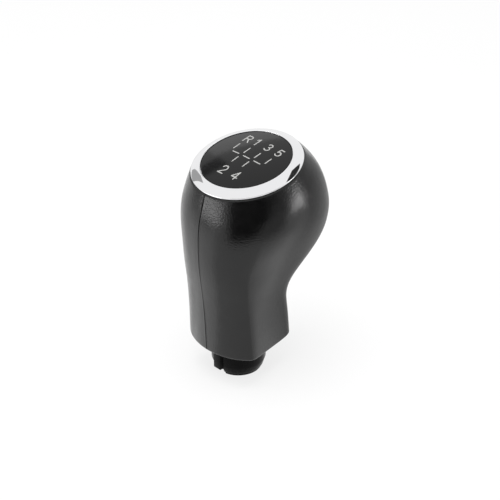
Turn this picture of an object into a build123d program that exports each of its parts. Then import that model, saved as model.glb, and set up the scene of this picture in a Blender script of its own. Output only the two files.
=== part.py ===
from build123d import *
from math import cos, hypot, pi, radians, sin, sqrt, tan
from typing import NamedTuple
from scipy.interpolate import CubicSpline
import os

# Gear shift knob for a manual gearbox, in millimetres.
# +Z runs up the lever, +Y points to the front of the car and the origin lies on the
# lever's axis, in the plane of the grip's foot.

# Lever fit
lever_diameter = 12.0
lever_clearance = 0.05
bore_above_foot = 41.0
bore_chamfer = 0.6

# Shift plate at the top, tilted towards the driver
plate_radius = 17.0
plate_tilt = 12.2
plate_forward = 5.8
plate_height = 73.2
plate_edge = 1.6
plate_dome = 1.0
plate_gap = 0.12
skirt_wall = 1.2
skirt_length = 3.6
bead_height = 0.8
bead_reach = 0.4

# Chrome ring around the plate
ring_width = 3.9
ring_proud = 0.25
ring_drop = 1.5
ring_bulge = 0.3
ring_edge = 0.5
ledge_width = 1.3
ledge_thickness = 1.4
spigot_width = 2.2
leg_count = 4
leg_length = 6.0
leg_width = 4.0
leg_thickness = 1.4
barb_height = 1.6
barb_reach = 0.5

# Leather skin and its seam
skin = 1.5
rim_margin = 0.3
hem_radius = 0.8
seam_width = 0.6
seam_depth = 0.5

# Moulded core
core_wall = 2.0
socket_wall = 2.0
pocket_radius = 13.5
pocket_forward = 3.0
pocket_floor = 39.5
floor_thickness = 3.5
rib_count = 6
rib_thickness = 1.6

# Lever sleeve: the part in the core and the neck below the grip
sleeve_wall = 2.5
sleeve_end_wall = 3.0
neck_step = 1.85
neck_length = 13.3
neck_taper_length = 4.4
neck_tip_radius = 9.0
neck_lip = 0.35
neck_lip_height = 1.2
key_width = 3.6
key_reach = 0.8
key_length = 7.0
notch_height = 2.8

# Leaf spring in the sleeve's bore
leaf_thickness = 0.5
leaf_width = 3.0
leaf_top = 22.0
leaf_bow = 0.5
leaf_margin = 0.75

# Circlip that keeps the sleeve in the core
clip_thickness = 1.0
clip_width = 2.2
clip_opening = 5.0
clip_groove = 0.6

# Clearances
glue_gap = 0.1
fit_gap = 0.1
leg_gap = 0.2
skirt_room = 2.0


class Station(NamedTuple):
    """The grip's outline where one section plane crosses the lever's axis."""

    height: float
    half_width: float
    back: float
    front: float
    middle: float
    flank: float
    back_radius: float


# Grip outlines from the foot to the crown. Back and front are measured from the lever's
# axis. Half width is taken at the middle; from there the cheek runs back on an oval as long
# as the flank until it meets the arched back in a ridge.
foot = Station(
    height=0.0, half_width=17.1, back=16.1, front=15.9, middle=-3.4, flank=59.5, back_radius=22.2
)
waist = Station(
    height=13.0, half_width=16.3, back=16.4, front=14.9, middle=0.1, flank=55.8, back_radius=20.2
)
shoulder = Station(
    height=26.0, half_width=17.0, back=17.2, front=18.1, middle=3.9, flank=49.9, back_radius=21.2
)
throat = Station(
    height=38.0, half_width=20.5, back=18.4, front=36.4, middle=9.4, flank=42.7, back_radius=25.9
)
bulge = Station(
    height=49.0, half_width=23.9, back=18.8, front=39.0, middle=7.6, flank=39.2, back_radius=29.4
)
crown = Station(
    height=60.0, half_width=24.0, back=17.9, front=35.1, middle=5.9, flank=35.3, back_radius=33.2
)
foot_power = 9.0
head_power = 2.5
foot_narrowing = 0.19
round_height = 44.0
ridge_power = 36.0
ridge_start_height = 28.0
ridge_end_height = 69.0
outline_points = 96
form_sections = 24

# Values worked out from the driving dimensions
bore_radius = lever_diameter / 2 + lever_clearance
sleeve_radius = bore_radius + sleeve_wall
neck_radius = sleeve_radius + neck_step
ring_inner = plate_radius + plate_gap
ring_outer = ring_inner + ring_width
rim_drop = ring_drop + ring_edge + fit_gap
rim_radius = ring_outer + rim_margin
tilt = radians(plate_tilt)
axis_height = plate_height - plate_forward * tan(tilt) - rim_drop / cos(tilt)
axis_middle = plate_forward / cos(tilt) + rim_drop * tan(tilt)
rim = crown._replace(
    height=axis_height,
    half_width=rim_radius,
    back=rim_radius - axis_middle,
    front=rim_radius + axis_middle,
    middle=axis_middle,
)
stations = [foot, waist, shoulder, throat, bulge, crown, rim]
# A length that passes the whole knob
far = 2 * (plate_height + neck_length)

plate_frame = Plane(
    origin=(0, plate_forward, plate_height),
    x_dir=(1, 0, 0),
    z_dir=(0, -sin(tilt), cos(tilt)),
)


def ease(share):
    """Smooth step from 0 to 1."""
    share = min(max(share, 0.0), 1.0)
    return share * share * (3 - 2 * share)


def joined(reaches, power):
    """The nearest of several reaches, rounded where two of them are alike."""
    return sum(reach**-power for reach in reaches) ** (-1 / power)


def softness(station):
    """How far a station is from the ridged form below to the round rim, from 0 to 1."""
    return ease((station.height - ridge_start_height) / (ridge_end_height - ridge_start_height))


def back_reach(station, inset, across, along):
    """Distance from an outline's middle to its edge behind it, where the cheek meets the arched back."""
    wide = station.half_width - inset
    arch_radius = station.back_radius - inset
    arch_middle = station.back_radius - station.back - station.middle
    cheek = 1 / hypot(across / wide, along / (station.flank - inset))
    arch = arch_middle * along + sqrt(arch_radius**2 - (arch_middle * across) ** 2)
    ridged = joined([cheek, arch], ridge_power)
    oval = 1 / hypot(across / wide, along / (station.back + station.middle - inset))
    return ridged + (oval - ridged) * softness(station)


def outline(station, inset):
    """Closed outline of one station: flat cheeks and an arched back at the foot, round where high up."""
    roundness = ease(station.height / round_height)
    narrowing = foot_narrowing * (1 - roundness)
    square = foot_power + (head_power - foot_power) * roundness
    power = square + (2 - square) * softness(station)
    wide = station.half_width - inset
    deep = station.front - station.middle - inset
    points = []
    for step in range(outline_points):
        angle = 2 * pi * step / outline_points + pi / 2
        across = cos(angle)
        along = sin(angle)
        if along > 0:
            reach = (abs(across / wide) ** power + (along / deep) ** power) ** (-1 / power)
        else:
            reach = back_reach(station, inset, across, along)
        x = reach * across * (1 - narrowing * reach * along / deep)
        points.append((x, station.middle + reach * along))
    even_steps = [step / outline_points for step in range(outline_points + 1)]
    return make_face(Edge.make_spline(points, periodic=True, parameters=even_steps))


def section(station, inset):
    """The outline set on its own plane, which turns from level at the foot to the plate's tilt."""
    turn = tilt * ease(station.height / axis_height)
    plane = Plane(
        origin=(0, 0, station.height),
        x_dir=(1, 0, 0),
        z_dir=(0, -sin(turn), cos(turn)),
    )
    return plane.location * outline(station, inset)


def grip_form(inset):
    """Solid of the grip's outer form on smooth curves through the stations, shrunk by inset all round."""
    curves = CubicSpline([station.height for station in stations], stations, bc_type="natural")
    heights = [axis_height * step / form_sections for step in range(form_sections + 1)]
    return loft([section(Station(*curves(height)), inset) for height in heights])


def turned(points):
    """Ring-shaped solid turned from an outline of (radius, height) points."""
    corners = [(radius, 0, height) for radius, height in points]
    return revolve(make_face(Polyline(*corners, close=True)), Axis.Z)


def drum(radius, low, high):
    """Upright cylinder on the axis from one height to another."""
    return Pos(0, 0, (low + high) / 2) * Cylinder(radius, high - low)


def block(x_size, y_low, y_high, low, high):
    """Box centred on the middle plane."""
    return Pos(0, (y_low + y_high) / 2, (low + high) / 2) * Box(x_size, y_high - y_low, high - low)


def ring_of(count, shape, first=0.0):
    """Copies of a shape spaced evenly round the axis."""
    return [Rot(0, 0, first + 360 * index / count) * shape for index in range(count)]


def foot_cavity(inset, low, high):
    """Straight hollow under the grip that stays inside the waist as well as the foot."""
    narrow = foot._replace(
        half_width=min(foot.half_width, waist.half_width),
        back=min(foot.back, waist.back),
        front=min(foot.front, waist.front),
    )
    return Pos(0, 0, low) * extrude(outline(narrow, inset), amount=high - low, dir=(0, 0, 1))


cavity_inset = skin + core_wall
leg_radius = ring_inner + spigot_width - leg_thickness / 2
ledge_top = plate_edge
ledge_under = ledge_top + ledge_thickness
skirt_outer = ring_inner - ledge_width - fit_gap
leg_end = ledge_under + leg_length


def make_grip_cover():
    """Leather skin with its hem turned under at the foot and a seam down the back."""
    body = grip_form(0)
    foot_edge = body.edges().sort_by(Axis.Z)[0]
    body = fillet(foot_edge, hem_radius)
    core_space = grip_form(skin) - block(far, -far, far, -far, skin)
    hollow = foot_cavity(cavity_inset, -skin, skin + glue_gap)
    seam = block(seam_width, -far, 0, -far, far) - grip_form(seam_depth)
    return body - seam - core_space - hollow


def leg(gap):
    """One snap leg of the ring with its barb, grown by a gap for the slot that takes it."""
    inner = leg_radius - leg_thickness / 2
    outer = leg_radius + leg_thickness / 2
    blade = [
        (inner - gap, -ledge_under + gap),
        (outer + gap, -ledge_under + gap),
        (outer + gap, -leg_end + barb_height + gap),
        (outer + barb_reach + gap, -leg_end + barb_height + gap),
        (outer + gap, -leg_end - gap),
        (inner - gap, -leg_end - gap),
    ]
    face = make_face(Polyline(*[(x, 0, z) for x, z in blade], close=True))
    return extrude(face, amount=leg_width / 2 + gap, both=True)


def make_trim_ring():
    """Plated ring: sloping crown, thin outer edge, ledge for the plate and snap legs."""
    spigot = ring_inner + spigot_width
    slope_middle = ((ring_inner + ring_outer) / 2, 0, (ring_proud - ring_drop) / 2 + ring_bulge)
    edges = [
        Polyline(
            (ring_outer, 0, -ring_drop),
            (ring_outer, 0, -ring_drop - ring_edge),
            (spigot, 0, -ring_drop - ring_edge),
            (spigot, 0, -ledge_under),
            (ring_inner - ledge_width, 0, -ledge_under),
            (ring_inner - ledge_width, 0, -ledge_top),
            (ring_inner, 0, -ledge_top),
            (ring_inner, 0, ring_proud),
        ),
        ThreePointArc((ring_inner, 0, ring_proud), slope_middle, (ring_outer, 0, -ring_drop)),
    ]
    ring = revolve(make_face(edges), Axis.Z)
    legs = ring_of(leg_count, leg(0), first=180 / leg_count)
    return plate_frame.location * (ring + legs)


def make_shift_plate():
    """Slightly domed plate with a skirt whose bead snaps under the ring's ledge."""
    under = -plate_edge + fit_gap
    skirt_end = under - skirt_length
    bead_top = -ledge_under - fit_gap
    edges = [
        Polyline(
            (plate_radius, 0, 0),
            (plate_radius, 0, under),
            (skirt_outer, 0, under),
            (skirt_outer, 0, bead_top),
            (skirt_outer + bead_reach, 0, bead_top),
            (skirt_outer + bead_reach, 0, bead_top - bead_height),
            (skirt_outer, 0, skirt_end),
            (skirt_outer - skirt_wall, 0, skirt_end),
            (skirt_outer - skirt_wall, 0, under),
            (0, 0, under),
            (0, 0, plate_dome),
        ),
        TangentArc((0, 0, plate_dome), (plate_radius, 0, 0), tangent=(1, 0, 0)),
    ]
    return plate_frame.location * revolve(make_face(edges), Axis.Z)


def make_grip_core():
    """Moulded core: ribbed socket below, pocket above, seats for the ring, its legs and the plate."""
    core = grip_form(skin + glue_gap) - block(far, -far, far, -far, skin + glue_gap)
    socket = sleeve_radius + fit_gap
    cavity = foot_cavity(cavity_inset, 0, pocket_floor - floor_thickness)
    cavity -= drum(socket + socket_wall, 0, pocket_floor)
    rib = block(rib_thickness, 0, far, 0, pocket_floor)
    cavity -= ring_of(rib_count, rib, first=180 / rib_count)
    core -= cavity
    core -= drum(socket, 0, far)
    core -= Pos(0, pocket_forward, 0) * drum(pocket_radius, pocket_floor, far)
    spigot_seat = drum(ring_inner + spigot_width + fit_gap, -ledge_under - fit_gap, far)
    skirt_low = -plate_edge - skirt_length - skirt_room
    skirt_seat = drum(ring_inner - ledge_width + bead_reach + fit_gap, skirt_low, far)
    slots = ring_of(leg_count, leg(leg_gap), first=180 / leg_count)
    for cut in [spigot_seat, skirt_seat, *slots]:
        core -= plate_frame.location * cut
    return core


def make_lever_sleeve():
    """Sleeve that takes the lever: neck with a tapered tip below, circlip groove at the top."""
    seat = skin + glue_gap
    top = bore_above_foot + sleeve_end_wall
    groove_low = pocket_floor + fit_gap
    groove_high = groove_low + clip_thickness + fit_gap
    taper_low = -neck_length + neck_lip_height
    taper_high = -neck_length + neck_taper_length
    sleeve = turned(
        [
            (0, bore_above_foot),
            (bore_radius, bore_above_foot),
            (bore_radius, -neck_length + bore_chamfer),
            (bore_radius + bore_chamfer, -neck_length),
            (neck_tip_radius - neck_lip, -neck_length),
            (neck_tip_radius, taper_low),
            (neck_tip_radius + neck_lip, taper_low),
            (neck_radius, taper_high),
            (neck_radius, seat - fit_gap),
            (sleeve_radius, seat - fit_gap),
            (sleeve_radius, groove_low),
            (sleeve_radius - clip_groove, groove_low),
            (sleeve_radius - clip_groove, groove_high),
            (sleeve_radius, groove_high),
            (sleeve_radius, top),
            (0, top),
        ]
    )
    key_low = -neck_length + notch_height
    sleeve += block(key_width, -neck_radius - key_reach, -sleeve_radius, key_low, key_low + key_length)
    sleeve -= block(key_width, -far, 0, -far, key_low)
    groove_depth = bore_radius + leaf_thickness + leaf_bow + fit_gap
    sleeve -= block(leaf_width + 2 * fit_gap, -groove_depth, 0, -far, leaf_top + fit_gap)
    return sleeve


def make_lever_spring():
    """Bowed leaf in the bore's groove, with its lower end hooked out through the notch."""
    low = -neck_length + notch_height - fit_gap - leaf_thickness
    middle = (low + leaf_top) / 2
    near = -bore_radius - leaf_bow
    back = near - leaf_thickness
    hook = leaf_margin - neck_radius
    edges = [
        ThreePointArc((0, near, low), (0, near + leaf_bow, middle), (0, near, leaf_top)),
        Line((0, near, leaf_top), (0, back, leaf_top)),
        ThreePointArc(
            (0, back, leaf_top),
            (0, back + leaf_bow, middle),
            (0, back, low + leaf_thickness),
        ),
        Polyline(
            (0, back, low + leaf_thickness),
            (0, hook, low + leaf_thickness),
            (0, hook, low),
            (0, near, low),
        ),
    ]
    return extrude(make_face(edges), amount=leaf_width / 2, both=True)


def make_sleeve_circlip():
    """Open steel ring in the sleeve's groove, resting on the pocket's floor."""
    low = pocket_floor + fit_gap
    inner = sleeve_radius - clip_groove + fit_gap
    outer = inner + clip_width
    clip = drum(outer, low, low + clip_thickness) - drum(inner, low, low + clip_thickness)
    return clip - block(clip_opening, 0, far, low, low + clip_thickness)


parts = {
    "grip_cover": make_grip_cover(),
    "grip_core": make_grip_core(),
    "lever_sleeve": make_lever_sleeve(),
    "lever_spring": make_lever_spring(),
    "sleeve_circlip": make_sleeve_circlip(),
    "trim_ring": make_trim_ring(),
    "shift_plate": make_shift_plate(),
}

os.makedirs("parts", exist_ok=True)
for name, shape in parts.items():
    export_step(shape, f"parts/{name}.step")
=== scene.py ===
"""Gear shift knob: leather grip, chrome ring, domed shift plate with its marks, and the lever sleeve."""

import math

import bmesh
import bpy
import numpy as np
from bpy.props import FloatProperty, FloatVectorProperty, IntProperty, PointerProperty
from mathutils import Matrix, Vector


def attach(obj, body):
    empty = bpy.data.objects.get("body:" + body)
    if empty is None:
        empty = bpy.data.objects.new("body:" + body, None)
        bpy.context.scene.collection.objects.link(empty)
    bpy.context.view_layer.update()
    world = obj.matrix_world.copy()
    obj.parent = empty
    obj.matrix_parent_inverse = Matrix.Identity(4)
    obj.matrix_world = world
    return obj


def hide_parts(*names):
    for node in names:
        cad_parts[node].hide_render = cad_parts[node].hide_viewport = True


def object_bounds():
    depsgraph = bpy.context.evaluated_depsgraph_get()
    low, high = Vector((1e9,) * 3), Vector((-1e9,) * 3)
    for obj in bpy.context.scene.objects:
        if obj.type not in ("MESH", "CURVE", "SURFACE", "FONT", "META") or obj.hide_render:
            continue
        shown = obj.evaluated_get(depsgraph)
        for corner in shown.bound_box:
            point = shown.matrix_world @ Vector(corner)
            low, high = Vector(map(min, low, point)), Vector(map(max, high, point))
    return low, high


bl_info = {
    "name": "Gear Shift Knob",
    "version": (1, 0, 0),
    "blender": (4, 5, 0),
    "location": "3D View > Sidebar > Knob",
    "description": "Dresses a packed gear shift knob with leather, chrome, print and moulded plastic",
    "category": "Object",
}

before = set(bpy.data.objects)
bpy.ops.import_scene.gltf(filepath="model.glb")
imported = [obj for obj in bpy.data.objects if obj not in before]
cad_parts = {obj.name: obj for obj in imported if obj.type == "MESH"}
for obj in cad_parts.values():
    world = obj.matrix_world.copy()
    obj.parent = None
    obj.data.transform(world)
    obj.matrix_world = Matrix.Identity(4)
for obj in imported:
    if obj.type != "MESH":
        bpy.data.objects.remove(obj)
cad_low, cad_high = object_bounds()

MM = 0.001
BODY = "root"
WHITE = (1, 1, 1, 1)

# Grip outlines from the foot to the crown, in millimetres: height on the lever's axis, half width,
# reach to the back, reach to the front, middle, length of the cheek's oval and radius of the back
GRIP_STATIONS = (
    (0.0, 17.1, 16.1, 15.9, -3.4, 59.5, 22.2),
    (13.0, 16.3, 16.4, 14.9, 0.1, 55.8, 20.2),
    (26.0, 17.0, 17.2, 18.1, 3.9, 49.9, 21.2),
    (38.0, 20.5, 18.4, 36.4, 9.4, 42.7, 25.9),
    (49.0, 23.9, 18.8, 39.0, 7.6, 39.2, 29.4),
    (60.0, 24.0, 17.9, 35.1, 5.9, 35.3, 33.2),
)
OUTLINE_POINTS = 96

# Front of the grip: squareness at the foot and at the head, share by which the foot narrows, round height
FOOT_POWER = 9.0
HEAD_POWER = 2.5
FOOT_NARROWING = 0.19
ROUND_HEIGHT = 44.0 * MM

# Ridge between cheek and back: its sharpness, and the heights between which it fades out
RIDGE_POWER = 36.0
RIDGE_FADE_START = 28.0 * MM
RIDGE_FADE_END = 69.0 * MM

# Strokes of each mark, one unit tall: a line as its two ends, an arc as centre, radii, first and last angle
MARK_STROKES = {
    "R": (
        (0, 0, 0, 1),
        (0, 1, 0.36, 1),
        (0.36, 0.75, 0.28, 0.25, 90, -90),
        (0.36, 0.5, 0, 0.5),
        (0.33, 0.5, 0.68, 0),
    ),
    "1": ((0, 0.76, 0.28, 1), (0.28, 1, 0.28, 0)),
    "2": ((0.3, 0.71, 0.28, 0.29, 170, -38), (0.52, 0.531, 0, 0), (0, 0, 0.6, 0)),
    "3": ((0.27, 0.755, 0.25, 0.245, 155, -90), (0.27, 0.255, 0.29, 0.255, 90, -155)),
    "4": ((0.44, 0, 0.44, 1), (0.44, 1, 0, 0.27), (0, 0.27, 0.64, 0.27)),
    "5": ((0.52, 1, 0.1, 1), (0.1, 1, 0.05, 0.53), (0.27, 0.31, 0.29, 0.31, 139, -150)),
}

# Gear marks: letter or number, place in columns of the gate from the left, and share of its row's distance,
# which is below 0 for the row behind the gate line
GEAR_MARKS = (
    ("R", 0.1, 0.96),
    ("1", 0.84, 1),
    ("3", 1.96, 1),
    ("5", 2.96, 1),
    ("2", 1.12, -1),
    ("4", 2.28, -1),
)

# Meshes: distance within which points are one, the same on solids, angle within which facets are one,
# steps of a rounded corner, and the softening of sharp edges
SAME_POINT = 0.0001 * MM
SAME_CAD_POINT = 0.001 * MM
FLAT_DEGREES = 0.5
CORNER_STEPS = 4
BEVEL_SEGMENTS = 2
BEVEL_DEGREES = 38

# Finishes: finer pores within the leather's grain, thin spots of the print, pale spots of the mouldings,
# stretch of the marks along rolled steel, and the floor's faint spots
PORES_PER_GRAIN = 3
THIN_PRINT = 0.85
PALE_PLASTIC = 1.5
ROLLED = (1, 1, 0.08)
FLOOR_SPOT = 400.0 * MM
FLOOR_SPOT_TONE = 0.98

# Gate: its sizes, each named like its property, rounding of a dash as a share of the stroke, and its steps
GATE_SIZES = ("Dash", "Stroke", "Pitch", "Gap", "Centre", "Thickness")
DASH_ROUNDING = 0.35
DASH_CORNER_STEPS = 3

# Colour sockets of the Mix node, whose names repeat for each of its types
MIX_FACTOR, MIX_FIRST, MIX_SECOND, MIX_RESULT = 0, 6, 7, 2


def length(label, text, millimetres):
    """Property for a length, given in millimetres and kept in metres."""
    return FloatProperty(name=label, description=text, default=millimetres * MM, unit="LENGTH", precision=5)


def camera_length(label, text, millimetres):
    """Property for a length inside the camera, kept in millimetres."""
    return FloatProperty(name=label, description=text, default=millimetres, min=1.0, unit="CAMERA")


def share(label, text, value):
    """Property for a share from 0 to 1."""
    return FloatProperty(name=label, description=text, default=value, min=0.0, max=1.0, subtype="FACTOR")


def colour(label, text, value):
    """Property for a colour in linear light."""
    return FloatVectorProperty(
        name=label, description=text, default=value, size=3, min=0.0, max=1.0, subtype="COLOR"
    )


def turn(label, text, degrees):
    """Property for an angle, given in degrees."""
    return FloatProperty(name=label, description=text, default=math.radians(degrees), subtype="ANGLE")


def refraction(label, text, value):
    """Property for an index of refraction."""
    return FloatProperty(name=label, description=text, default=value, min=1.0)


class KnobPlateProperties(bpy.types.PropertyGroup):
    """Where the shift plate lies, its form and its finish."""

    tilt: turn("Tilt", "Lean of the plate towards the driver", 12.2)
    forward: length("Forward", "Plate centre ahead of the lever's axis", 5.8)
    height: length("Height", "Plate centre above the grip's foot", 73.2)
    radius: length("Radius", "Radius of the plate", 17.0)
    edge: length("Edge", "Thickness at the rim", 1.5)
    dome: length("Dome", "Rise of the plate's middle", 1.0)
    rounding: length("Rounding", "Rounding of the rim", 0.3)
    under_rounding: length("Under rounding", "Rounding of the rim's lower edge", 0.15)
    skirt_radius: length("Skirt radius", "Outer radius of the snap skirt", 15.72)
    skirt_wall: length("Skirt wall", "Wall of the snap skirt", 1.2)
    skirt_length: length("Skirt length", "Length of the snap skirt", 3.6)
    bead_drop: length("Bead drop", "Top of the snap bead below the plate's plane", 3.1)
    bead_height: length("Bead height", "Height of the snap bead", 0.8)
    bead_reach: length("Bead reach", "How far the snap bead stands out", 0.4)
    tint: colour("Plate colour", "Gloss black of the plate", (0.002, 0.002, 0.0022))
    gloss: share("Plate roughness", "Roughness of the plate's lacquer", 0.1)
    index: refraction("Plate index", "Refraction of the lacquer", 1.345)
    peel: length("Peel", "Size of the lacquer's faint orange-peel", 1.2)
    peel_depth: length("Peel depth", "Depth of the lacquer's orange-peel", 0.002)


class KnobRingProperties(bpy.types.PropertyGroup):
    """Form and finish of the chrome ring."""

    inner: length("Inner radius", "Inner radius of the ring", 17.12)
    width: length("Width", "Width of the ring's crown", 3.9)
    proud: length("Proud", "Inner lip above the plate's edge", 0.25)
    drop: length("Drop", "Fall of the crown to its outer edge", 1.5)
    bulge: length("Bulge", "Rise of the crown between its edges", 0.3)
    edge: length("Edge", "Height of the outer edge", 0.5)
    rounding: length("Rounding", "Rounding of the ring's edges", 0.16)
    ledge_width: length("Ledge width", "Ledge that carries the plate", 1.3)
    ledge_top: length("Ledge top", "Ledge below the plate's plane", 1.6)
    ledge_thickness: length("Ledge thickness", "Thickness of the ledge", 1.4)
    spigot: length("Spigot", "Width of the spigot in the core", 2.2)
    leg_count: IntProperty(name="Legs", description="Number of snap legs", default=4, min=1)
    leg_length: length("Leg length", "Length of a snap leg", 6.0)
    leg_width: length("Leg width", "Width of a snap leg", 4.0)
    leg_thickness: length("Leg thickness", "Thickness of a snap leg", 1.4)
    barb_height: length("Barb height", "Height of a leg's barb", 1.6)
    barb_reach: length("Barb reach", "How far a leg's barb stands out", 0.5)
    tint: colour("Chrome colour", "Reflection of the chrome plating", (0.83, 0.83, 0.84))
    gloss: share("Chrome roughness", "Roughness of the polished plating", 0.0525)
    haze: length("Haze", "Size of the polish's faint haze", 2.0)


class KnobGripProperties(bpy.types.PropertyGroup):
    """Form and finish of the leather skin."""

    skin: length("Skin", "Thickness of the leather", 1.5)
    rim_drop: length("Rim drop", "Leather's upper edge below the plate's plane", 2.1)
    rim_radius: length("Rim radius", "Radius of the leather's upper edge", 21.32)
    rim_rounding: length("Rim rounding", "Rounding of the upper edge", 0.5)
    hem: length("Hem", "Radius of the fold at the foot", 0.8)
    hem_width: length("Hem width", "Width of the edge turned under the foot", 3.5)
    seam_width: length("Seam width", "Width of the seam's valley", 0.4)
    seam_depth: length("Seam depth", "Depth of the seam's valley", 0.28)
    seam_swell: length("Seam swell", "Rise of the leather beside the seam", 0.06)
    seam_rubbed: share("Seam rubbed", "How far handling has closed the seam in the middle", 0.6)
    pinch_drop: length("Pinch drop", "Pinch in the seam below the leather's upper edge", 4.0)
    grain: length("Grain", "Size of the leather's grain", 1.1)
    grain_depth: length("Grain depth", "Depth of the leather's grain", 0.02)
    pore_depth: length("Pore depth", "Depth of the leather's pores", 0.01)
    ripple: length("Ripple", "Size of the skin's soft unevenness", 4.0)
    ripple_depth: length("Ripple depth", "Depth of the skin's soft unevenness", 0.06)
    tint: colour("Leather colour", "Black of the leather", (0.0030, 0.0030, 0.0031))
    worn: colour("Worn colour", "Lighter black where the leather is handled", (0.0042, 0.0042, 0.0043))
    index: refraction("Leather index", "Refraction of the dressing", 1.45)
    gloss: share("Leather roughness", "Roughness of the leather's finish", 0.2)


class KnobMarkProperties(bpy.types.PropertyGroup):
    """Layout and finish of the printed shift pattern."""

    pitch: length("Pitch", "Distance between the gate's columns", 5.6)
    centre: length("Centre", "Gate line ahead of the plate's centre", 0.2)
    dash: length("Dash", "Length of a dash", 3.5)
    gap: length("Gap", "Gate line to the near end of a column's dash", 1.27)
    stroke: length("Stroke", "Width of a dash", 0.46)
    row: length("Row", "Gate line to the middle of the front numbers", 8.9)
    back_row: length("Back row", "Gate line to the middle of the back numbers", 9.5)
    letter: length("Letter", "Height of the front numbers", 4.2)
    back_letter: length("Back letter", "Height of the back numbers", 4.5)
    letter_stroke: length("Letter stroke", "Width of a number's stroke", 0.48)
    thickness: length("Thickness", "Thickness of the print", 0.02)
    tint: colour("Print colour", "Light grey of the print", (0.39, 0.39, 0.38))
    gloss: share("Print roughness", "Roughness of the print", 0.525)
    cover: length("Cover", "Size of the print's thin spots", 0.4)


class KnobMouldingProperties(bpy.types.PropertyGroup):
    """Finish of the plastic and steel pieces in and under the grip."""

    rounding: length("Rounding", "Softening of moulded edges", 0.15)
    sleeve: colour("Sleeve colour", "Black of the lever sleeve", (0.002, 0.002, 0.0021))
    sleeve_gloss: share("Sleeve roughness", "Roughness of the lever sleeve", 0.28)
    sleeve_index: refraction("Sleeve index", "Refraction of the sleeve's skin", 1.16)
    core: colour("Core colour", "Black of the core", (0.030, 0.030, 0.030))
    core_gloss: share("Core roughness", "Roughness of the core", 0.5)
    core_index: refraction("Core index", "Refraction of the core's plastic", 1.45)
    cloud: length("Cloud", "Size of the plastic's paler spots", 3.0)
    spark: length("Spark", "Size of the mould's spark-eroded texture", 0.15)
    spark_depth: length("Spark depth", "Depth of the spark-eroded texture", 0.006)
    steel: colour("Steel colour", "Bare spring steel", (0.50, 0.50, 0.51))
    steel_gloss: share("Steel roughness", "Roughness of the rolled steel", 0.32)
    steel_rounding: length("Steel rounding", "Softening of the steel's edges", 0.075)
    rolling: length("Rolling marks", "Width of the rolling marks in the steel", 0.3)
    rolling_depth: length("Rolling depth", "Depth of the rolling marks", 0.002)


class KnobStageProperties(bpy.types.PropertyGroup):
    """Camera, floor and light."""

    azimuth: turn("Azimuth", "Camera round the knob from its back", 47.68)
    elevation: turn("Elevation", "Camera above the floor", 30.92)
    roll: turn("Roll", "Camera turned about its own line of sight", -1.0)
    distance: length("Distance", "Camera to the point it aims at", 686.3)
    aim: FloatVectorProperty(
        name="Aim",
        description="Point in the middle of the picture",
        default=(-0.1 * MM, 6.9 * MM, 34.4 * MM),
        size=3,
        subtype="TRANSLATION",
    )
    lens: camera_length("Lens", "Focal length of the camera", 132.0)
    sensor: camera_length("Sensor", "Width of the camera's sensor", 36.0)
    floor: colour("Floor colour", "Pale floor", (0.86, 0.86, 0.86))
    floor_glow: share("Floor glow", "How far the floor is plain white to the eye", 0.8)
    surround: share("Surroundings", "Strength of the surroundings as light", 0.5)


def ease(value):
    """Smooth step from 0 to 1."""
    value = np.clip(value, 0.0, 1.0)
    return value * value * (3 - 2 * value)


def bell(value, middle, reach):
    """1 at a middle, falling off to both sides within a reach."""
    return np.exp(-(((value - middle) / reach) ** 2))


def cubic(part, first, last, leaving, arriving):
    """Values on cubics that leave a first value and arrive at a last one with given slopes."""
    return (
        (1 + 2 * part) * (1 - part) ** 2 * first
        + part**2 * (3 - 2 * part) * last
        + part * (1 - part) ** 2 * leaving
        + part**2 * (part - 1) * arriving
    )


def natural_curve(heights, values, at):
    """Values at other heights on the natural cubic curves through the values at the stations."""
    count = len(heights)
    step = np.diff(heights)
    rise = np.diff(values, axis=0) / step[:, None]
    system = np.zeros((count, count))
    target = np.zeros_like(values)
    system[0, :2] = 2, 1
    system[-1, -2:] = 1, 2
    target[0] = 3 * rise[0]
    target[-1] = 3 * rise[-1]
    for i in range(1, count - 1):
        system[i, i - 1 : i + 2] = step[i], 2 * (step[i - 1] + step[i]), step[i - 1]
        target[i] = 3 * (step[i] * rise[i - 1] + step[i - 1] * rise[i])
    slope = np.linalg.solve(system, target)
    low = np.clip(np.searchsorted(heights, at) - 1, 0, count - 2)
    part = ((at - heights[low]) / step[low])[:, None]
    span = step[low][:, None]
    return cubic(part, values[low], values[low + 1], span * slope[low], span * slope[low + 1])


def grip_stations(plate, grip):
    """Stations of the grip with the rim under the ring as the last one, in metres."""
    slope = math.tan(plate.tilt)
    rim_height = plate.height - plate.forward * slope - grip.rim_drop / math.cos(plate.tilt)
    rim_middle = plate.forward / math.cos(plate.tilt) + grip.rim_drop * slope
    stations = np.array(GRIP_STATIONS) * MM
    rim = stations[-1].copy()
    rim[:3] = rim_height, grip.rim_radius, grip.rim_radius - rim_middle
    rim[3:5] = grip.rim_radius + rim_middle, rim_middle
    return np.vstack([stations, rim])


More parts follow.
